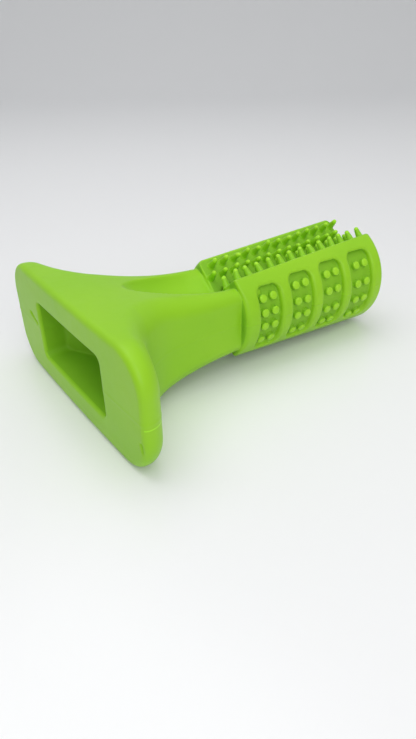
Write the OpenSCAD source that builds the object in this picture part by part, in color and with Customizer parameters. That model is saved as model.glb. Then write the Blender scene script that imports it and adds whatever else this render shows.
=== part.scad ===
// Pet toothbrush: a chewable tooth-cleaning stick moulded in soft rubber.
// A wide foot with a pocket stands at one end, a stem carries a shallow
// scoop on its top and on its underside, and two thick springy walls face
// each other across a V-shaped channel that is lined with rubber bristles.
// X runs from the foot (low) to the tip (high), Z is up, and the mould's
// parting plane is half way up.

/* [Overall] */
// Length from the foot's face to the tip
length = 149.6; // [140:0.2:165]
// Height of the foot, which is the whole part's height
height = 47.4; // [44:0.2:50]

/* [Foot] */
// Width of the foot across both ears
foot_w = 112.2; // [104:0.2:124]
// Thickness of the ears at their ends
ear_t = 10; // [8:0.5:12]
// Corner radius of the foot seen from its face
foot_r = 15; // [10:0.5:16]
// Radius of the rounded back of each ear
ear_r = 6.5; // [4:0.5:7]
// Width of the pocket in the foot's face
pocket_w = 57.6; // [48:0.2:62]
// Height of the pocket
pocket_h = 25.6; // [18:0.2:28]
// Depth of the pocket at its sides
pocket_d0 = 9.3; // [7:0.1:10]
// Depth of the pocket at its middle
pocket_d = 26; // [18:0.5:27]
// Corner radius of the pocket
pocket_r = 3.5; // [2:0.5:6]

/* [Stem] */
// Half width of the stem where it leaves the foot
stem_w0 = 19.6; // [19:0.1:21]
// Half width of the stem at the head
stem_w1 = 18.2; // [17:0.1:19]
// Half height of the stem at the head
stem_h1 = 14.4; // [13.5:0.1:15.5]
// Bevel along the stem's long edges
stem_c = 4; // [2:0.5:6]
// Half width of the scoop
scoop_w = 10.2; // [9:0.1:11]
// Where the scoop starts, from the foot's face
scoop_x = 25; // [22:0.5:30]

/* [Head] */
// Where the walls start, from the foot's face
head_x = 69.3; // [69:0.1:70]
// Outer radius of the head at its start
head_r0 = 22.3; // [21.5:0.1:23]
// Outer radius of the head at its tip
head_r1 = 25.5; // [24.5:0.1:26]
// Half width between the two rims
rim_y = 13.1; // [12:0.1:14]
// Half width of the slot between the walls
slot_y = 2.25; // [2.2:0.05:3]
// Rounding of the walls' ends at the tip
tip_round = 3.5; // [2:0.5:4]

/* [Panels and nubs] */
// Middle of the first panel, from the foot's face
panel_x = 82.3; // [81.5:0.1:83]
// Distance between panels
panel_pitch = 18; // [17:0.1:18.2]
// Length of a panel along the head
panel_l = 12.2; // [11:0.1:13]
// How far each panel's foot-side edge is moved in, from the foot to the tip
panel_in = [1.0, 0.3, -0.2, -0.8]; // [-1:0.1:1.5]
// How far each panel reaches above the parting plane
panel_top = [13.5, 14.8, 15.8, 16.6]; // [13:0.1:17]
// How far the panels reach below the parting plane
panel_h = 14.4; // [13.5:0.1:15]
// Depth of each panel
panel_d = 2.3; // [1.5:0.1:2.5]
// Diameter of a nub
nub_d = 3.4; // [3:0.1:4]
// How far a nub's top lies below the head's outer surface
nub_low = 1.15; // [0.8:0.05:1.3]

/* [Bristles] */
// Bristles in each row
bristle_n = 13; // [8:1:13]
// First bristle of the outer rows, from the foot's face
bristle_x_outer = 73.8; // [73:0.1:75]
// First bristle of the inner rows, from the foot's face
bristle_x_inner = 70.9; // [70.9:0.1:72]
// How far the left wall's bristles lie towards the tip of the right wall's
left_shift = 0.6; // [0:0.1:1]
// Distance between bristles in a row
bristle_pitch = 6.08; // [5:0.02:6.1]
// Length of a bristle
bristle_l = 4.9; // [4:0.1:4.9]
// Diameter of a bristle at its root
bristle_d0 = 3; // [2.4:0.1:3.2]
// Diameter of a bristle at its tip
bristle_d1 = 1.3; // [1:0.1:1.6]

/* [Wall roots] */
// Radius of the knuckle that stands for the flexing root of each wall
knuckle_r = 6; // [5:0.1:6.2]
// Running clearance around the knuckle
knuckle_gap = 0.05; // [0.03:0.01:0.1]
// Half height of the knuckle
knuckle_h = 9; // [8:0.5:9]

/* [Hidden] */
$fn = 72;
green = [0.55, 0.78, 0.20];
green2 = [0.48, 0.72, 0.14];
green3 = [0.62, 0.84, 0.26];
half_h = height / 2;
split_x = 31;                         // where the foot ends and the stem begins
root_gap = 1.0;                       // gap between the stem's end and each wall
stem_end = head_x - root_gap;
hinge_y = 12;                         // the walls flex about vertical lines here
web_end = 73;                         // end of the web between the two roots
root_in = 0.3;                        // nubs and bristles grow from this far in the wall
nub_h = panel_d - nub_low + root_in;
taper = (head_r1 - head_r0) / (length - head_x);
function head_r(x) = head_r0 + taper * (x - head_x);
// Slope of the channel's sides: 0.9 up for each 1 out from the middle
vee = 0.9;
vee_a = atan(vee);
// Height of the rim above the parting plane at x
function rim_z(x) = sqrt(pow(head_r(x), 2) - pow(rim_y, 2));
rim_s = (rim_z(140) - rim_z(70)) / 70; // how fast the rim climbs
rim_a = atan(rim_s);
function vee_z(x, y) = rim_z(70) + rim_s * (x - 70) - vee * (rim_y - y);
// Nub rows: angles above the parting plane, for each panel from the foot
nub_rows = [[25.5, 9, -8, -28], [28, 9.5, -7, -29.5],
            [29.5, 10, -11.5, -31], [29, 8, -11.5, -33.5]];

// The part's own frame: middle of the length, resting on z = 0
module placed() translate([-length / 2, 0, half_h]) children();

// ---------- foot ----------
// Plan outline of one half of the foot and the stem, seen from above
function half_plan() = concat(
    [[0, 0], [0, foot_w / 2 - 3]],
    [for (a = [165:-15:90]) [3 + 3 * cos(a), foot_w / 2 - 3 + 3 * sin(a)]],
    [for (a = [90:-15:0]) [ear_t - ear_r + ear_r * cos(a),
        foot_w / 2 - ear_r + ear_r * sin(a)]],
    [[10.6, 45], [13.6, 38], [17.4, 31.8], [22.4, 26.4], [28, 22.4],
        [34, stem_w0], [stem_end, stem_w1], [stem_end, 0]]);
module plan() {
    h = half_plan();
    n = len(h);
    polygon(concat([for (i = [1:n - 2]) h[i]],
        [for (i = [n - 2:-1:1]) [h[i][0], -h[i][1]]]));
}
// Side outline of the foot and the stem: distance along and half height
side_pts = [[0, 23.7], [6, 23.7], [14, 23.1], [22, 22.2], [32, 20.4], [42, 18.4],
    [51, 16.8], [60, 15.4], [stem_end, stem_h1]];
module side() {
    n = len(side_pts) - 1;
    polygon(concat([for (q = side_pts) [q[0], q[1] / 23.7 * half_h]],
        [for (i = [n:-1:0]) [side_pts[i][0], -side_pts[i][1] / 23.7 * half_h]]));
}
// Rounded rectangle centred on the origin
module rrect(w, h, r) {
    square([w - 2 * r, h], center = true);
    square([w, h - 2 * r], center = true);
    for (a = [-1, 1], b = [-1, 1])
        translate([a * (w / 2 - r), b * (h / 2 - r)]) circle(r);
}
// Extrudes a Y-Z outline along X from x0 to x1
module along_x(x0, x1)
    translate([x0, 0, 0]) rotate([90, 0, 90]) linear_extrude(x1 - x0) children();
module handle_core() intersection() {
    translate([0, 0, -half_h]) linear_extrude(height) plan();
    translate([0, foot_w / 2, 0]) rotate([90, 0, 0]) linear_extrude(foot_w) side();
    along_x(0, stem_end) rrect(foot_w, height, foot_r);
}
// Pocket in the foot's face: straight at the mouth, then narrowing inwards
module pocket() intersection() {
    translate([0, 0, -pocket_h]) linear_extrude(2 * pocket_h) polygon([
        [-1, pocket_w / 2], [pocket_d0, pocket_w / 2 - 0.5], [17, 15.2],
        [pocket_d, 6], [pocket_d, -6], [17, -15.2],
        [pocket_d0, 0.5 - pocket_w / 2], [-1, -pocket_w / 2]]);
    along_x(-1, pocket_d + 1) rrect(pocket_w, pocket_h, pocket_r);
}
module foot() color(green) placed() difference() {
    handle_core();
    translate([split_x, -foot_w, -height]) cube([length, 2 * foot_w, 2 * height]);
    pocket();
    scoop(); mirror([0, 0, 1]) scoop();
}

// ---------- stem ----------
// One scoop: a round-ended trough that gets deeper towards the head. A ball
// makes its rounded start, and a tilted cone carries it on to the head.
ball_x = scoop_x + scoop_w;
ball_r = 18.8 * scoop_w / 10.2;
ball_z = 35.5;
end_r = 11.7 * scoop_w / 10.2;
end_z = 20.3;
end_x = 74;
module scoop() {
    translate([ball_x, 0, ball_z]) sphere(ball_r);
    translate([ball_x, 0, ball_z])
        rotate([0, 90 + atan((ball_z - end_z) / (end_x - ball_x)), 0])
            cylinder(r1 = ball_r - 0.25, r2 = end_r,
                h = norm([end_x - ball_x, ball_z - end_z]));
}
// Block beyond the bevel of one long edge, for the side y > 0 and the top
bevel_n = [((20.2 - stem_h1) + (stem_w0 - stem_w1)) / (stem_end - 32), 1, 1];
module edge_block() translate([32, stem_w0 - stem_c / 2, 20.2 - stem_c / 2])
    rotate([0, acos(1 / norm(bevel_n)), atan2(1, bevel_n[0])])
        translate([-60, -60, 0]) cube(120);
module stem() color(green2) placed() difference() {
    union() {
        difference() {
            intersection() {
                handle_core();
                translate([split_x, -foot_w, -height]) cube([length, 2 * foot_w, 2 * height]);
            }
            for (a = [0, 1], b = [0, 1])
                mirror([0, a, 0]) mirror([0, 0, b]) edge_block();
        }
        // web between the two wall roots
        translate([stem_end - 1, -1.6, -8.2]) cube([web_end - stem_end + 1, 3.2, 16.4]);
    }
    scoop(); mirror([0, 0, 1]) scoop();
    for (s = [-1, 1]) translate([head_x, s * hinge_y, -knuckle_h - 0.15])
        cylinder(r = knuckle_r + knuckle_gap, h = 2 * knuckle_h + 0.3);
}

// ---------- walls ----------
// Solid of revolution of the head with a rounded tip, cut from panels
module head_body(inset = 0)
    translate([head_x, 0, 0]) rotate([0, 90, 0])
        cylinder(r1 = head_r0 - inset, r2 = head_r1 - inset, h = length - head_x);
module head_round() {
    // keeps the walls' ends inside a rounded outline
    rotate([0, 90, 0]) rotate_extrude() polygon(concat(
        [[0, head_x], [head_r0 - 2.5, head_x]],
        [for (a = [90:-15:15]) [head_r0 - 2.5 + 2.5 * cos(a), head_x + 2.5 - 2.5 * sin(a)]],
        [[head_r0 + 0.1, head_x + 2.5]],
        [for (a = [0:15:90]) [head_r1 - tip_round + tip_round * cos(a),
            length - tip_round + tip_round * sin(a)]],
        [[0, length]]));
}
// Everything above one side of the channel, as a block to cut away
module vee_cut(s) translate([70, 0, 0]) rotate([0, -rim_a, 0])
    translate([0, s * rim_y, rim_z(70)]) rotate([s * vee_a, 0, 0])
        translate([-20, -40, 0]) cube([140, 80, 40]);
module panel_box(k, s) translate([panel_x + k * panel_pitch, s * 20, 0])
    rotate([90, 0, 0]) linear_extrude(30, center = true)
        translate([panel_in[k] / 2, (panel_top[k] - panel_h) / 2])
            rrect(panel_l - panel_in[k], panel_top[k] + panel_h, 2.2);
module wall(s) difference() {
    union() {
        intersection() {
            head_round();
            translate([head_x, s > 0 ? slot_y : -slot_y - 40, -40]) cube([length, 40, 80]);
        }
        // knuckle that carries the wall on the stem
        translate([head_x, s * hinge_y, -knuckle_h])
            cylinder(r = knuckle_r, h = 2 * knuckle_h);
    }
    vee_cut(s);
    mirror([0, 0, 1]) vee_cut(s);
    for (k = [0:3]) difference() {
        panel_box(k, s);
        head_body(panel_d);
    }
}
module wall_right() color(green2) placed() wall(-1);
module wall_left() color(green2) placed() wall(1);

// ---------- nubs ----------
module nub(x, a, s) {
    top = head_r(x) - nub_low;
    // a short peg with a domed top, on the floor of the panel
    rotate([s > 0 ? a : -a, 0, 0]) translate([x, 0, 0]) rotate([-s * 90, 0, 0]) {
        translate([0, 0, top - nub_h]) cylinder(d = nub_d, h = nub_h - 0.7);
        translate([0, 0, top - 0.7]) cylinder(d1 = nub_d, d2 = nub_d * 0.78, h = 0.45);
        translate([0, 0, top - 0.25]) cylinder(d1 = nub_d * 0.78, d2 = nub_d * 0.35, h = 0.25);
    }
}
module nubs(k, s)
    for (i = [0:3], c = [-2.7, 2.7])
        nub(panel_x + k * panel_pitch + c, nub_rows[k][i], s);
module nubs_right_1() color(green3) placed() nubs(0, -1);
module nubs_right_2() color(green3) placed() nubs(1, -1);
module nubs_right_3() color(green3) placed() nubs(2, -1);
module nubs_right_4() color(green3) placed() nubs(3, -1);
module nubs_left_1() color(green3) placed() nubs(0, 1);
module nubs_left_2() color(green3) placed() nubs(1, 1);
module nubs_left_3() color(green3) placed() nubs(2, 1);
module nubs_left_4() color(green3) placed() nubs(3, 1);

// ---------- bristles ----------
// One tapered bristle standing on the channel's side, with a round tip
module bristle(x, y, s) translate([x, s * y, vee_z(x, y)])
    rotate([0, -rim_a, 0]) rotate([s * vee_a, 0, 0]) {
        // rooted a little way into the wall that it grows from
        translate([0, 0, -root_in]) cylinder(d = bristle_d0, h = root_in);
        cylinder(d1 = bristle_d0, d2 = bristle_d1, h = bristle_l - bristle_d1 / 2);
        translate([0, 0, bristle_l - bristle_d1 / 2]) sphere(d = bristle_d1);
    }
module row(x0, y, s, up) mirror([0, 0, up > 0 ? 0 : 1])
    for (i = [0:bristle_n - 1])
        bristle(x0 + (s > 0 ? left_shift : 0) + i * bristle_pitch, y, s);
module outer_row(s, up) color(green3) placed() row(bristle_x_outer, 10.1, s, up);
module inner_row(s, up) color(green3) placed() row(bristle_x_inner, 6.2, s, up);
module bristles_right_top_outer() outer_row(-1, 1);
module bristles_right_top_inner() inner_row(-1, 1);
module bristles_right_bottom_inner() inner_row(-1, -1);
module bristles_right_bottom_outer() outer_row(-1, -1);
module bristles_left_top_outer() outer_row(1, 1);
module bristles_left_top_inner() inner_row(1, 1);
module bristles_left_bottom_inner() inner_row(1, -1);
module bristles_left_bottom_outer() outer_row(1, -1);

foot();
stem();
wall_right();
wall_left();
nubs_right_1();
nubs_right_2();
nubs_right_3();
nubs_right_4();
nubs_left_1();
nubs_left_2();
nubs_left_3();
nubs_left_4();
bristles_right_top_outer();
bristles_right_top_inner();
bristles_right_bottom_inner();
bristles_right_bottom_outer();
bristles_left_top_outer();
bristles_left_top_inner();
bristles_left_bottom_inner();
bristles_left_bottom_outer();
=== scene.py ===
import math

import bmesh
import bpy
import numpy as np
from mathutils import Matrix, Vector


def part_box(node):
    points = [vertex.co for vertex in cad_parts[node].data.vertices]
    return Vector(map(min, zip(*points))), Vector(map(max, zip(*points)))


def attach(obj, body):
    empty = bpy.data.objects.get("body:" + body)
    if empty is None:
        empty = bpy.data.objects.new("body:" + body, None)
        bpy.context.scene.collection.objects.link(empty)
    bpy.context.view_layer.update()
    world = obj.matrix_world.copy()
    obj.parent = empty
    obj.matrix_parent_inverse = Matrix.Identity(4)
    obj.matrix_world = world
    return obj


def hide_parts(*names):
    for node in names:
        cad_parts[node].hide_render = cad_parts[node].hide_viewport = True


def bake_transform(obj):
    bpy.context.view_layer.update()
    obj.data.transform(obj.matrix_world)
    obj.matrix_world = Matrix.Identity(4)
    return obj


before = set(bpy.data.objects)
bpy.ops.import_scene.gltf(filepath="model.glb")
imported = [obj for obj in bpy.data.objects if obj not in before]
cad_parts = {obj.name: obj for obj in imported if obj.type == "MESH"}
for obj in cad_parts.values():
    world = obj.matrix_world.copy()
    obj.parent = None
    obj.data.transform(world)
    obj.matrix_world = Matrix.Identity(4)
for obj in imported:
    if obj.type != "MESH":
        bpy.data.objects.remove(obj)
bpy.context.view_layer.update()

import openvdb as vdb
from mathutils import Matrix, Vector

# ---------------------------------------------------------------- frame
# Moulding coordinates are in mm: x from the foot's face, y across, z from
# the mould's parting plane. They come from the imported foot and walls.
f_lo, f_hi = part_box("foot")
w_lo, w_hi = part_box("wall_right")
X0 = f_lo[0] * 1000.0
ZM = (f_lo[2] + f_hi[2]) * 500.0
HALF_W = f_hi[1] * 1000.0 - 0.18
HALF_H = (f_hi[2] - f_lo[2]) * 500.0
LENGTH = w_hi[0] * 1000.0 - X0 - 0.12
HEAD_X = 69.3
HEAD_R0, HEAD_R1 = 22.3, 25.5
TAPER = (HEAD_R1 - HEAD_R0) / (LENGTH - HEAD_X)
RIM_Y = 13.1
SLOT_Y = 2.25
VEE = 0.9
PANEL_X, PANEL_P, PANEL_L, PANEL_H, PANEL_D = 82.3, 18.0, 12.2, 14.4, 2.3
NUB_LOW = 1.15
NUB_ROWS = [[25.5, 9, -8, -28], [28, 9.5, -7, -29.5], [29.5, 10, -11.5, -31], [29, 8, -11.5, -33.5]]
# Where each panel starts and how high it reaches: they grow towards the tip
PANEL_IN = [1.0, 0.3, -0.2, -0.8]
PANEL_TOP = [13.5, 14.8, 15.8, 16.6]
HINGE_X, HINGE_Y = 69.3, 12.0
SEAM_X = 58.0


def head_r(x):
    return HEAD_R0 + TAPER * (x - HEAD_X)


def rim_z(x):
    return math.sqrt(head_r(x) ** 2 - RIM_Y ** 2)


RIM_S = (rim_z(140.0) - rim_z(70.0)) / 70.0


def vee_z(x, y):
    return rim_z(70.0) + RIM_S * (x - 70.0) - VEE * (RIM_Y - y)


def to_row(p):
    """mm in moulding coordinates to metres in the row frame"""
    q = np.asarray(p, float).reshape(-1, 3) + np.array([X0, 0.0, ZM])
    return q * 0.001


# ---------------------------------------------------------------- splines
def spline(xs, ys):
    """natural cubic spline through the points, as a function"""
    xs, ys = np.asarray(xs, float), np.asarray(ys, float)
    n = len(xs)
    h = np.diff(xs)
    a = np.zeros((n, n))
    b = np.zeros(n)
    a[0, 0] = a[-1, -1] = 1
    for i in range(1, n - 1):
        a[i, i - 1], a[i, i], a[i, i + 1] = h[i - 1], 2 * (h[i - 1] + h[i]), h[i]
        b[i] = 3 * ((ys[i + 1] - ys[i]) / h[i] - (ys[i] - ys[i - 1]) / h[i - 1])
    c = np.linalg.solve(a, b)

    def f(x):
        x = np.clip(np.asarray(x, float), xs[0], xs[-1])
        k = np.clip(np.searchsorted(xs, x) - 1, 0, n - 2)
        d = (c[k + 1] - c[k]) / (3 * h[k])
        bb = (ys[k + 1] - ys[k]) / h[k] - h[k] * (2 * c[k] + c[k + 1]) / 3
        t = x - xs[k]
        return ys[k] + bb * t + c[k] * t * t + d * t ** 3
    return f


H_OF = spline([-8, 0, 6, 14, 22, 32, 42, 51, 60, 69.3, 80],
              [23.68, 23.68, 23.63, 23.2, 22.3, 20.35, 18.1, 16.4, 15.15, 14.35, 13.9])
# Half outline seen from above: ear, concave sweep, stem
PLAN = np.array([(10.0, 70), (10.0, 60), (10.1, 54), (10.8, 47.5), (12.6, 41), (15.3, 34.8),
                 (19.4, 29.0), (24.8, 24.3), (31, 21.0), (38.5, 19.4), (48, 18.8),
                 (58, 18.45), (69, 18.15), (84, 18.0)])
_s = np.concatenate([[0], np.cumsum(np.hypot(*np.diff(PLAN, axis=0).T))])
_px, _py = spline(_s, PLAN[:, 0]), spline(_s, PLAN[:, 1])
_t = np.linspace(0, _s[-1], 260)
PLAN_C = np.stack([_px(_t), _py(_t)], 1)


def plan_dist(x, y):
    """signed distance to the plan outline on flat arrays, inside negative"""
    y = np.abs(y)
    best = np.full(x.shape, 1e9)
    sign = np.ones(x.shape)
    for i in range(len(PLAN_C) - 1):
        ax, ay = PLAN_C[i]
        bx, by = PLAN_C[i + 1]
        dx, dy = bx - ax, by - ay
        t = np.clip(((x - ax) * dx + (y - ay) * dy) / (dx * dx + dy * dy), 0, 1)
        ex, ey = x - ax - t * dx, y - ay - t * dy
        d = ex * ex + ey * ey
        m = d < best
        best = np.where(m, d, best)
        sign = np.where(m, np.where(dx * ey - dy * ex > 0, 1.0, -1.0), sign)
    return np.sqrt(best) * sign


# ---------------------------------------------------------------- distance shapes
def rint(a, b, r):
    """intersection with its edge rounded to radius r"""
    u, v = np.maximum(a + r, 0), np.maximum(b + r, 0)
    return np.minimum(-r, np.maximum(a, b)) + np.sqrt(u * u + v * v)


def runi(a, b, r):
    """union with a fillet of radius r"""
    return -rint(-a, -b, r)


def rrect(a, b, ha, hb, r):
    qa, qb = np.abs(a) - ha + r, np.abs(b) - hb + r
    return (np.sqrt(np.maximum(qa, 0) ** 2 + np.maximum(qb, 0) ** 2)
            + np.minimum(np.maximum(qa, qb), 0) - r)


def smooth(e0, e1, x):
    t = np.clip((x - e0) / (e1 - e0), 0, 1)
    return t * t * (3 - 2 * t)


def scoop_half(X):
    """half width of the scoop: it widens from a point towards the channel"""
    return 12.6 * np.sqrt(np.clip(1 - ((70.0 - np.clip(X, 26, 70)) / 44.0) ** 2, 0.012, 1))


# gouges in the face: two ends (y, z), radius, and the height they sit at
NICKS = [((37.4, 4.1), (30.6, 1.7), 1.15, 0.30), ((-53.2, -8.4), (-53.6, -11.4), 0.75, 1.05)]


def nick(X, Y, Z):
    """shallow gouges across the face, beside the pocket and at the near ear"""
    out = np.full(X.shape, 9.0)
    for (ay, az), (by, bz), size, x in NICKS:
        t = np.clip(((Y - ay) * (by - ay) + (Z - az) * (bz - az)) / ((by - ay) ** 2 + (bz - az) ** 2), 0, 1)
        r = np.hypot(Y - ay - t * (by - ay), Z - az - t * (bz - az))
        out = np.minimum(out, np.hypot(r, X - x) - size * (1 - 0.35 * t))
    return out


def handle(X, Y, Z, plan):
    """foot and stem, without the head"""
    ay, az = np.abs(Y), np.abs(Z)
    h = H_OF(X)
    f = rrect(Y, Z, HALF_W, h, 15.2)
    ear = smooth(43, 52, ay)
    long_edge = np.interp(X, [8, 20, 36, 50, 66, 80], [6.5, 8.8, 7.8, 6.8, 5.2, 5.0])
    d = rint(f, plan, 6.2 * ear + long_edge * (1 - ear))
    # the face is a little crowned across its width
    d = rint(d, 0.95 - 0.85 * np.clip(1 - (Y / 56.0) ** 2, 0, 1) - X, 2.4)
    d = np.maximum(d, X - 80.0)
    # pocket: straight at the mouth, then its back slants to a flat end
    if X.min() < 4:
        d = rint(d, -nick(X, Y, Z), 0.15)
    draft = 0.03 * np.maximum(X, 0)
    pk = rrect(Y + 0.35, Z, 28.05 - draft, 12.7 - draft, 3.0 + 0 * X)
    slope = (ay - 28.2) * 0.463 + (X - 10.0) * 0.886
    pk = rint(pk, slope, 0.9)
    pk = rint(pk, X - 25.5, 2.0)
    d = rint(d, -pk, 1.0)
    # scoops, top and underside
    w = scoop_half(X)
    u = np.minimum(ay / w, 1)
    depth = np.interp(X, [26, 29, 33, 40, 50, 60, 69], [0.0, 2.2, 4.1, 5.9, 7.0, 7.5, 7.8])
    e = np.interp(X, [28, 45, 69], [3.2, 3.2, 1.9])
    zs = h - depth * (1 - u ** e) + 0.8 * np.maximum(ay - w, 0) + 0.5 * np.maximum(26 - X, 0)
    # it rises to meet the sloping sides of the channel
    up = np.minimum(vee_z(69.3, ay), h) - 0.5 - zs
    zs = zs + 0.55 * smooth(57, 69.3, X) * np.maximum(up, 0)
    d = rint(d, (az - zs) * 0.80, 0.25 + 0.8 * smooth(42, 60, X))
    return d


def head(X, Y, Z):
    ay, az = np.abs(Y), np.abs(Z)
    rho = np.hypot(Y, Z)
    R = head_r(X)
    # the near wall's front edge is sharper beside the channel
    d = rint(rho - R, HEAD_X - X, np.where(Y < 0, 1.0 + 1.7 * smooth(16.0, 8.0, az), 2.7))
    d = rint(d, X - LENGTH, 2.6)
    for k in range(4):
        xc = PANEL_X + PANEL_P * k
        if X.max() < xc - 9 or X.min() > xc + 9:
            continue
        # the panel's outline, then its floor, both with soft corners
        cut, top = PANEL_IN[k], PANEL_TOP[k]
        box = rrect(X - xc - cut / 2, Z - (top - PANEL_H) / 2, (PANEL_L - cut) / 2,
                    (top + PANEL_H) / 2 + 0 * X, 3.0)
        rec = rint(box, (R - PANEL_D) - rho, 0.4 + 1.6 * smooth(-8.0, -13.0, Z))
        d = rint(d, -rec, 1.7)
    return d


def channel(X, Y, Z):
    """solid side of the V-shaped channel and of the slot"""
    ay, az = np.abs(Y), np.abs(Z)
    v = (az - vee_z(X, ay)) * math.cos(math.atan(VEE))
    # the slot ends in a round root between the walls
    s = np.where(X > 75.3, SLOT_Y - ay, SLOT_Y - np.hypot(ay, X - 75.3))
    return v, s


def seam_ridge(Z):
    """the fine raised parting line at mid height"""
    return 0.16 * np.exp(-(Z / 0.34) ** 2)


def whole(X, Y, Z, plan):
    d = handle(X, Y, Z, plan)
    if X.max() > HEAD_X - 8:
        hd = head(X, Y, Z)
        d = runi(d, hd, 0.25 + 1.0 * smooth(10.0, 7.0, np.abs(Y)))
        v, s = channel(X, Y, Z)
        # the channel is open at the tip and runs out into the scoops
        vcut = rint(-v, 67.5 - X, 3.0)
        d = rint(d, -vcut, 0.8)
        d = rint(d, s, 0.6)
    d = d - seam_ridge(Z) * smooth(-6.0, 0.0, d + 3.0) * (1 - smooth(LENGTH - 4.0, LENGTH - 2.5, X))
    return d


# ---------------------------------------------------------------- meshing
def tri(a, p):
    """trilinear sampling of a at grid positions p"""
    n = np.array(a.shape) - 1
    p = np.clip(p, 0, n - 1e-4)
    i = p.astype(int)
    f = p - i
    out = 0
    for dx in (0, 1):
        for dy in (0, 1):
            for dz in (0, 1):
                w = ((f[:, 0] if dx else 1 - f[:, 0]) * (f[:, 1] if dy else 1 - f[:, 1])
                     * (f[:, 2] if dz else 1 - f[:, 2]))
                out = out + w * a[i[:, 0] + dx, i[:, 1] + dy, i[:, 2] + dz]
    return out


def skin_mesh(name, lo, hi, step, cuts):
    """surface of whole() inside the box, cut by planes; cuts = [(point, outward normal)] in mm"""
    lo, hi = np.array(lo, float), np.array(hi, float)
    n = np.ceil((hi - lo) / step).astype(int) + 1
    ax = [lo[i] + step * np.arange(n[i]) for i in range(3)]
    px, py = np.meshgrid(ax[0], ax[1], indexing="ij")
    plan = plan_dist(px.ravel(), py.ravel()).reshape(px.shape)
    arr = np.empty(tuple(n), np.float32)
    block = 24
    for a in range(0, n[0], block):
        b = min(n[0], a + block)
        X = ax[0][a:b, None, None]
        Y = ax[1][None, :, None]
        Z = ax[2][None, None, :]
        X, Y, Z = np.broadcast_arrays(X, Y, Z)
        P = np.broadcast_to(plan[a:b, :, None], X.shape)
        arr[a:b] = whole(X, Y, Z, P)
    grid = vdb.FloatGrid(3.0)
    grid.copyFromArray(np.clip(arr, -3.0, 3.0))
    pts, quads = grid.convertToQuads(0.0)
    pts = np.asarray(pts, float)
    g = np.gradient(arr)
    for _ in range(2):
        f = tri(arr, pts)
        gr = np.stack([tri(g[k], pts) for k in range(3)], 1)
        pts -= np.clip(f / np.maximum((gr ** 2).sum(1), 0.02), -0.4, 0.4)[:, None] * gr
    mm = pts * step + lo
    me = bpy.data.meshes.new(name)
    bm = bmesh.new()
    vs = [bm.verts.new(v) for v in mm]
    bm.verts.ensure_lookup_table()
    for q in quads:
        try:
            bm.faces.new([vs[k] for k in q])
        except ValueError:
            pass
    bm.normal_update()
    if bm.calc_volume(signed=True) < 0:
        bmesh.ops.reverse_faces(bm, faces=bm.faces)
    caps = []
    for point, normal in cuts:
        geom = bm.verts[:] + bm.edges[:] + bm.faces[:]
        res = bmesh.ops.bisect_plane(bm, geom=geom, dist=1e-5, plane_co=point, plane_no=normal,
                                     clear_outer=True, clear_inner=False)
        edges = [e for e in res["geom_cut"] if isinstance(e, bmesh.types.BMEdge) and e.is_boundary]
        if edges:
            made = bmesh.ops.triangle_fill(bm, edges=edges, use_beauty=True, use_dissolve=False,
                                           normal=normal)
            caps.append((Vector(point), Vector(normal)))
    bmesh.ops.remove_doubles(bm, verts=bm.verts, dist=1e-4)
    loose = [v for v in bm.verts if not v.link_faces]
    bmesh.ops.delete(bm, geom=loose, context="VERTS")
    bmesh.ops.recalc_face_normals(bm, faces=bm.faces)
    open_edges = sum(1 for e in bm.edges if not e.is_manifold)
    cap_ids = set()
    for f in bm.faces:
        f.smooth = True
        for point, normal in caps:
            if abs((f.calc_center_median() - point).dot(normal)) < 1e-3 and abs(f.normal.dot(normal)) > 0.99:
                f.smooth = False
                cap_ids.add(f.index)
    bm.to_mesh(me)
    bm.free()
    co = np.empty(len(me.vertices) * 3)
    me.vertices.foreach_get("co", co)
    co = co.reshape(-1, 3)
    gp = (co - lo) / step
    nr = np.stack([tri(g[k], gp) for k in range(3)], 1)
    nr /= np.maximum(np.linalg.norm(nr, axis=1), 1e-9)[:, None]
    # corner normals: the true surface normal, and flat on the cut faces
    loops_v = np.empty(len(me.loops), np.int32)
    me.loops.foreach_get("vertex_index", loops_v)
    ln = nr[loops_v]
    for p in me.polygons:
        if not p.use_smooth:
            for li in p.loop_indices:
                ln[li] = p.normal
    me.vertices.foreach_set("co", to_row(co).astype(np.float32).ravel())
    me.update()
    me.normals_split_custom_set([tuple(v) for v in ln])
    ob = bpy.data.objects.new(name, me)
    bpy.context.collection.objects.link(ob)
    print("skin", name, len(me.vertices), "verts", len(me.polygons), "faces, non-manifold edges", open_edges)
    return ob


def lathe(profile, seg):
    """vertices and faces of a closed turned shape; profile = [(radius, height)] from base to tip"""
    v, f = [], []
    for r, h in profile:
        if r < 1e-6:
            v.append((0, 0, h))
        else:
            v += [(r * math.cos(2 * math.pi * i / seg), r * math.sin(2 * math.pi * i / seg), h)
                  for i in range(seg)]
    starts, k = [], 0
    for r, h in profile:
        starts.append(k)
        k += 1 if r < 1e-6 else seg
    for j in range(len(profile) - 1):
        a, b = starts[j], starts[j + 1]
        ra, rb = profile[j][0] >= 1e-6, profile[j + 1][0] >= 1e-6
        for i in range(seg):
            i2 = (i + 1) % seg
            if ra and rb:
                f.append((a + i, a + i2, b + i2, b + i))
            elif ra:
                f.append((a + i, a + i2, b))
            elif rb:
                f.append((a, b + i2, b + i))
    return np.array(v, float), f


def group_mesh(name, shapes, tip_from):
    """one object of many closed turned shapes; shapes = [(vertices in mm, faces)]

    Faces from tip_from on in each shape take the second material, a painted highlight on the bristle tips
    and the nub tops."""
    vs, fs, k = [], [], 0
    for v, f in shapes:
        vs.append(v)
        fs += [tuple(i + k for i in q) for q in f]
        k += len(v)
    me = bpy.data.meshes.new(name)
    me.from_pydata(to_row(np.concatenate(vs)).tolist(), [], fs)
    n = len(shapes[0][1])
    for p in me.polygons:
        p.use_smooth = True
        p.material_index = 1 if p.index % n >= tip_from else 0
    me.validate()
    ob = bpy.data.objects.new(name, me)
    bpy.context.collection.objects.link(ob)
    return ob


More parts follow.
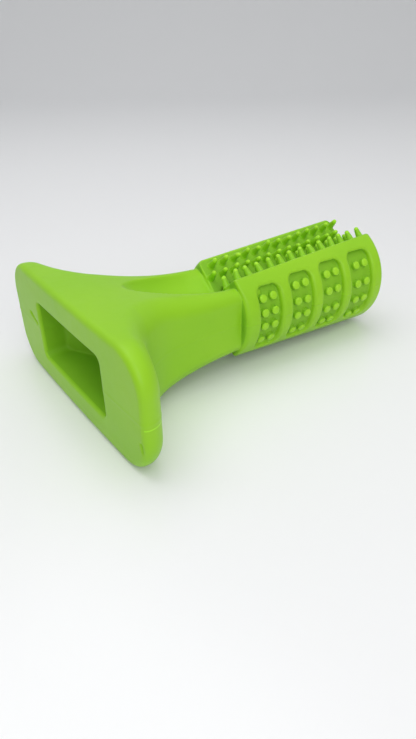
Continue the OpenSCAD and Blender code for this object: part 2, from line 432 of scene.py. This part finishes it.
def basis(z):
    z = Vector(z).normalized()
    x = z.orthogonal().normalized()
    return np.array([x, z.cross(x), z], float)


rng = np.random.default_rng(11)

# bristle outline: flared root, taper, round tip
def bristle_profile(length, r0, r1):
    p = [(0.0, -0.7), (r0 + 0.5, -0.7), (r0 + 0.42, -0.1), (r0 + 0.2, 0.08), (r0 + 0.07, 0.28), (r0, 0.6)]
    for t in (0.25, 0.5, 0.75, 0.9):
        p.append((r0 + (r1 - r0) * t, 0.6 + (length - r1 - 0.6) * t))
    for a in (0, 20, 40, 60, 75):
        c, s = math.cos(math.radians(a)), math.sin(math.radians(a))
        p.append((r1 * c, length - r1 + r1 * s))
    p.append((0.0, length))
    return p


NUB = [(0.0, -0.5), (2.05, -0.5), (2.02, -0.08), (1.95, 0.1), (1.90, 0.3), (1.87, 0.8), (1.84, 1.3),
       (1.76, 1.58), (1.58, 1.78), (1.30, 1.90), (0.92, 1.98), (0.5, 2.02), (0.0, 2.03)]


def make_nubs(k, s):
    shapes = []
    for a in NUB_ROWS[k]:
        for c in (-2.7, 2.7):
            x = PANEL_X + PANEL_P * k + c
            an = math.radians(a + rng.uniform(-0.5, 0.5))
            n = Vector((-TAPER, s * math.cos(an), math.sin(an))).normalized()
            R = head_r(x) - PANEL_D
            base = Vector((x, s * math.cos(an) * R, math.sin(an) * R))
            v, f = lathe(NUB, 28)
            v = v * np.array([1, 1, 1.0 + rng.uniform(-0.04, 0.04)])
            shapes.append((v @ basis(n) + np.array(base), f))
    side = "right" if s < 0 else "left"
    # the lower bands of each nub take painted shade, the tops a painted highlight
    ob = group_mesh("nub_set_%s_%d" % (side, k + 1), shapes, 28 * 6)
    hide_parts("nubs_%s_%d" % (side, k + 1))
    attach(ob, side + "_wall")
    return ob


def make_row(s, up, outer):
    x0, y0 = (73.8, 10.1) if outer else (70.9, 6.2)
    if s > 0:
        x0 += 0.6
    L = math.hypot(1, VEE)
    n0 = Vector((0.08 if s > 0 else -0.02, -s * VEE / L, 1 / L)).normalized()
    shapes = []
    for i in range(13):
        x = x0 + 6.08 * i
        n = (n0 + Vector((rng.normal(0, 0.035), rng.normal(0, 0.02), 0))).normalized()
        base = np.array([x, s * y0, vee_z(x, y0)])
        v, f = lathe(bristle_profile(5.2, 1.56, 1.05), 24)
        bend = rng.normal(0, 0.012, 2)
        v[:, 0] += bend[0] * np.maximum(v[:, 2], 0) ** 2
        v[:, 1] += bend[1] * np.maximum(v[:, 2], 0) ** 2
        w = v @ basis(n) + base
        if up < 0:
            w[:, 2] *= -1
            f = [tuple(reversed(q)) for q in f]
        shapes.append((w, f))
    side = "right" if s < 0 else "left"
    label = "%s_%s_%s" % (side, "top" if up > 0 else "bottom", "outer" if outer else "inner")
    # the upper part of each bristle takes a painted highlight
    ob = group_mesh("bristle_row_" + label, shapes, 24 * 9)
    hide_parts("bristles_" + label)
    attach(ob, side + "_wall")
    return ob


# ---------------------------------------------------------------- pieces
FINE = 0.36
COARSE = 0.5
handle_skin = skin_mesh("handle_skin", (-2.1, -58.6, -24.4), (SEAM_X + 2.2, 58.6, 24.4), COARSE,
                        [((SEAM_X, 0, 0), (1, 0, 0))])
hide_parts("foot", "stem")
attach(handle_skin, "base")
walls = []
for s, side in ((-1, "right"), (1, "left")):
    y0, y1 = (-27.2, 1.6) if s < 0 else (-1.6, 27.2)
    ob = skin_mesh(side + "_wall_skin", (SEAM_X - 1.6, y0, -24.4), (LENGTH + 1.6, y1, 24.4), FINE,
                   [((SEAM_X, 0, 0), (-1, 0, 0)), ((0, 0, 0), (0, -s, 0))])
    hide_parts("wall_" + side)
    walls.append(ob)
nubs = [make_nubs(k, s) for s in (-1, 1) for k in range(4)]


def mark_painted_shade(ob):
    """the sunk panel floors, the channel and the step at the stem take the second material, a painted shade
    for the shade in these recesses
    """
    for p in ob.data.polygons:
        c = p.center
        x, y, z = c.x * 1000.0 - X0, c.y * 1000.0, c.z * 1000.0 - ZM
        # painted shade on the sunk panel floors
        if math.hypot(y, z) < head_r(x) - PANEL_D + 0.3 and abs(y) > 12.0:
            k = round((x - PANEL_X) / PANEL_P)
            if 0 <= k <= 3 and abs(x - PANEL_X - PANEL_P * k) < 6.6 and -13.5 < z < PANEL_TOP[k]:
                p.material_index = 1
        # painted shade on the channel's sloping sides
        if abs(y) < RIM_Y - 0.6 and x > HEAD_X + 0.5 and abs(z) < vee_z(x, abs(y)) + 0.25:
            p.material_index = 1
        # painted shade on the step where the stem meets the head
        if x < HEAD_X + 0.9 and p.normal.x < -0.75 and math.hypot(y, z) < head_r(x) - 1.2 and abs(y) > 10:
            p.material_index = 1


for ob in walls:
    mark_painted_shade(ob)
# marks on the handle: a painted highlight along the parting line across each ear, and painted shade inside
# the pocket
for p in handle_skin.data.polygons:
    c = p.center
    px, py = c.x * 1000.0 - X0, abs(c.y) * 1000.0
    # painted shade inside the pocket
    if (1.4 < px < 26.2 and py < 28.6 and abs(c.z * 1000.0 - ZM) < 12.9
            and (py - 28.2) * 0.463 + (px - 10.0) * 0.886 < 0.8):
        p.material_index = 2
    # painted highlight: a lighter strip along the parting line across the ear, in place of the fine ridge
    if abs(c.z * 1000.0 - ZM + 1.8) < 0.3 and abs(c.y) > 0.050 and 0.0015 < c.x - X0 * 0.001 < 0.012:
        p.material_index = 1
rows = [make_row(s, up, outer) for s in (-1, 1) for up in (1, -1) for outer in (True, False)]

# ---------------------------------------------------------------- materials
def rubber(name, base, rough=0.42, sss=0.0):
    m = bpy.data.materials.new(name)
    m.use_nodes = True
    t = m.node_tree
    n, l = t.nodes, t.links
    bsdf = n["Principled BSDF"]
    co = n.new("ShaderNodeTexCoord")

    def noise(scale, detail=4.0, rough_=0.55, dist=0.0):
        x = n.new("ShaderNodeTexNoise")
        x.inputs["Scale"].default_value = scale
        x.inputs["Detail"].default_value = detail
        x.inputs["Roughness"].default_value = rough_
        x.inputs["Distortion"].default_value = dist
        l.new(co.outputs["Object"], x.inputs["Vector"])
        return x

    def ramp(src, stops):
        r = n.new("ShaderNodeValToRGB")
        e = r.color_ramp.elements
        e[0].position, e[0].color = stops[0][0], (*stops[0][1], 1)
        e[1].position, e[1].color = stops[-1][0], (*stops[-1][1], 1)
        for p, c in stops[1:-1]:
            q = e.new(p)
            q.color = (*c, 1)
        l.new(src, r.inputs["Fac"])
        return r

    r_, g_, b_ = base
    broad = noise(22.0, 3.0, 0.5, 0.3)
    col = ramp(broad.outputs["Fac"], [(0.3, (r_ * 0.93, g_ * 0.965, b_ * 0.85)), (0.52, base),
                                      (0.72, (r_ * 1.07, g_ * 1.025, b_ * 1.25))])
    # faint dusty bloom and rubbed smudges, as handled rubber has
    smudge = noise(75.0, 6.0, 0.62, 1.2)
    sm = ramp(smudge.outputs["Fac"], [(0.60, (0, 0, 0)), (0.78, (1, 1, 1))])
    mix = n.new("ShaderNodeMix")
    mix.data_type = "RGBA"
    mul = n.new("ShaderNodeMath")
    mul.operation = "MULTIPLY"
    mul.inputs[1].default_value = 0.16
    l.new(sm.outputs["Color"], mul.inputs[0])
    l.new(mul.outputs[0], mix.inputs["Factor"])
    l.new(col.outputs["Color"], mix.inputs[6])
    mix.inputs[7].default_value = (r_ * 0.62, g_ * 0.66, b_ * 0.9, 1)
    l.new(mix.outputs[2], bsdf.inputs["Base Color"])
    rn = noise(160.0, 5.0, 0.6)
    mr = n.new("ShaderNodeMapRange")
    mr.inputs["To Min"].default_value = rough - 0.05
    mr.inputs["To Max"].default_value = rough + 0.10
    l.new(rn.outputs["Fac"], mr.inputs["Value"])
    l.new(mr.outputs["Result"], bsdf.inputs["Roughness"])
    fine = noise(2600.0, 2.0, 0.5)
    wave = noise(140.0, 3.0, 0.5)
    b1 = n.new("ShaderNodeBump")
    b1.inputs["Strength"].default_value = 0.10
    b1.inputs["Distance"].default_value = 0.00012
    l.new(fine.outputs["Fac"], b1.inputs["Height"])
    b2 = n.new("ShaderNodeBump")
    b2.inputs["Strength"].default_value = 0.18
    b2.inputs["Distance"].default_value = 0.0005
    l.new(wave.outputs["Fac"], b2.inputs["Height"])
    l.new(b1.outputs["Normal"], b2.inputs["Normal"])
    l.new(b2.outputs["Normal"], bsdf.inputs["Normal"])
    bsdf.inputs["Specular IOR Level"].default_value = 0.36
    bsdf.inputs["Sheen Weight"].default_value = 0.05
    bsdf.inputs["Sheen Roughness"].default_value = 0.45
    if sss:
        bsdf.inputs["Subsurface Weight"].default_value = sss
        bsdf.inputs["Subsurface Radius"].default_value = (0.9, 1.0, 0.25)
        bsdf.inputs["Subsurface Scale"].default_value = 0.0012
    return m


GREEN = (0.280, 0.590, 0.009)
mat_body = rubber("lime_rubber", GREEN)
# painted shade: a darker green stands in for the shade in the panel floors, the channel, the step at the
# stem, the pocket and the nubs' sides
mat_painted_shade = rubber("lime_rubber_painted_shade", (0.215, 0.490, 0.010), 0.55)
# painted highlight: a lighter green on the nub tops
mat_nub_top_highlight = rubber("lime_rubber_nub_tops_painted_highlight", (0.325, 0.665, 0.013), 0.40)
mat_bristle = rubber("lime_rubber_bristles", (0.262, 0.585, 0.008), 0.40, 0.2)
# painted highlight: a lighter green on the bristle tips and along the ear's parting line
mat_painted_highlight = rubber("lime_rubber_painted_highlight", (0.385, 0.760, 0.020), 0.36, 0.2)
for ob in [handle_skin] + walls:
    ob.data.materials.append(mat_body)
# second and third materials on the handle: painted highlight for the parting strip, painted shade for the
# pocket
handle_skin.data.materials.append(mat_painted_highlight)
handle_skin.data.materials.append(mat_painted_shade)
for ob in walls:
    # second material on the walls: painted shade in their recesses
    ob.data.materials.append(mat_painted_shade)
# nubs: painted shade on the sides, painted highlight on the tops
for ob in nubs:
    ob.data.materials.append(mat_painted_shade)
    ob.data.materials.append(mat_nub_top_highlight)
for ob in rows:
    ob.data.materials.append(mat_bristle)
    ob.data.materials.append(mat_painted_highlight)

# each wall's transform is applied to its mesh; the hinge point at its root is computed but not used
for ob, s, side in zip(walls, (-1, 1), ("right", "left")):
    a = to_row((63.5, s * HINGE_Y, 0))[0]
    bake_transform(ob)

# ---------------------------------------------------------------- stage
def stage_mesh():
    """floor that sweeps up into a backdrop well behind the object"""
    az = math.radians(-34.12)
    back = Vector((-math.sin(az), math.cos(az), 0))
    side = Vector((math.cos(az), math.sin(az), 0))
    pts = [(-1.6, 0.0), (1.0, 0.0)]
    for a in range(5, 91, 5):
        pts.append((1.0 + 0.7 * math.sin(math.radians(a)), 0.7 - 0.7 * math.cos(math.radians(a))))
    pts.append((1.7, 2.6))
    v, f = [], []
    for d, z in pts:
        for w in (-3.0, 3.0):
            p = back * d + side * w
            v.append((p.x, p.y, z))
    for i in range(len(pts) - 1):
        f.append((2 * i, 2 * i + 1, 2 * i + 3, 2 * i + 2))
    me = bpy.data.meshes.new("backdrop")
    me.from_pydata(v, [], f)
    for p in me.polygons:
        p.use_smooth = True
    ob = bpy.data.objects.new("backdrop", me)
    bpy.context.collection.objects.link(ob)
    m = bpy.data.materials.new("backdrop_paper")
    m.use_nodes = True
    b = m.node_tree.nodes["Principled BSDF"]
    b.inputs["Base Color"].default_value = (0.87, 0.87, 0.87, 1)
    b.inputs["Roughness"].default_value = 0.28
    b.inputs["Specular IOR Level"].default_value = 0.5
    me.materials.append(m)
    return ob


stage_mesh()
bpy.context.scene.view_settings.view_transform = "Standard"
world = bpy.context.scene.world or bpy.data.worlds.new("world")
bpy.context.scene.world = world
world.use_nodes = True
bg = world.node_tree.nodes["Background"]
# the room: bright ceiling, dimmer walls
wt = world.node_tree
wc = wt.nodes.new("ShaderNodeTexCoord")
ws = wt.nodes.new("ShaderNodeSeparateXYZ")
wr = wt.nodes.new("ShaderNodeValToRGB")
wt.links.new(wc.outputs["Generated"], ws.inputs["Vector"])
wt.links.new(ws.outputs["Z"], wr.inputs["Fac"])
wt.links.new(wr.outputs["Color"], bg.inputs["Color"])
we = wr.color_ramp.elements
we[0].position, we[0].color = 0.0, (0.36, 0.365, 0.37, 1)
we[1].position, we[1].color = 0.75, (0.95, 0.97, 1.0, 1)
bg.inputs["Strength"].default_value = 0.67


def area(name, loc, target, size, power, color=(1, 1, 1)):
    li = bpy.data.lights.new(name, "AREA")
    li.shape = "RECTANGLE"
    li.size, li.size_y = size
    li.energy = power
    li.color = color
    ob = bpy.data.objects.new(name, li)
    bpy.context.collection.objects.link(ob)
    ob.location = loc
    ob.rotation_euler = (Vector(target) - Vector(loc)).to_track_quat("-Z", "Y").to_euler()
    return ob


area("top_softbox", (-0.10, 0.20, 0.88), (0, 0, 0), (0.7, 0.7), 2.75)
area("front_fill", (-0.30, -0.95, 0.58), (0.0, -0.10, 0.0), (0.7, 0.5), 3.7, (1.0, 0.985, 0.965))
area("near_wash", (-0.10, -0.60, 1.0), (0.0, -0.32, 0.0), (0.5, 0.5), 1.45, (1.0, 0.985, 0.975))
area("back_wash", (0.1, 0.85, 1.0), (0.75, 1.05, 0.0), (0.8, 0.5), 0.2, (0.97, 0.98, 1.0))

# ---------------------------------------------------------------- camera
cam = bpy.data.cameras.new("camera")
cam.sensor_width = 36.0
cam.lens = 565.607 / 739.0 * 36.0
cam.clip_start, cam.clip_end = 0.01, 20.0
co = bpy.data.objects.new("camera", cam)
bpy.context.collection.objects.link(co)
a, e, ro = math.radians(-34.892), math.radians(31.533), math.radians(-1.010)
zc = Vector((math.sin(a) * math.cos(e), -math.cos(a) * math.cos(e), math.sin(e)))
xc = Vector((0, 0, 1)).cross(zc).normalized()
yc = zc.cross(xc)
x2 = xc * math.cos(ro) + yc * math.sin(ro)
y2 = yc * math.cos(ro) - xc * math.sin(ro)
loc = Vector(to_row((-62.483, -182.374, 107.075))[0])
co.matrix_world = Matrix(((x2.x, y2.x, zc.x, loc.x), (x2.y, y2.y, zc.y, loc.y),
                          (x2.z, y2.z, zc.z, loc.z), (0, 0, 0, 1)))
bpy.context.scene.camera = co
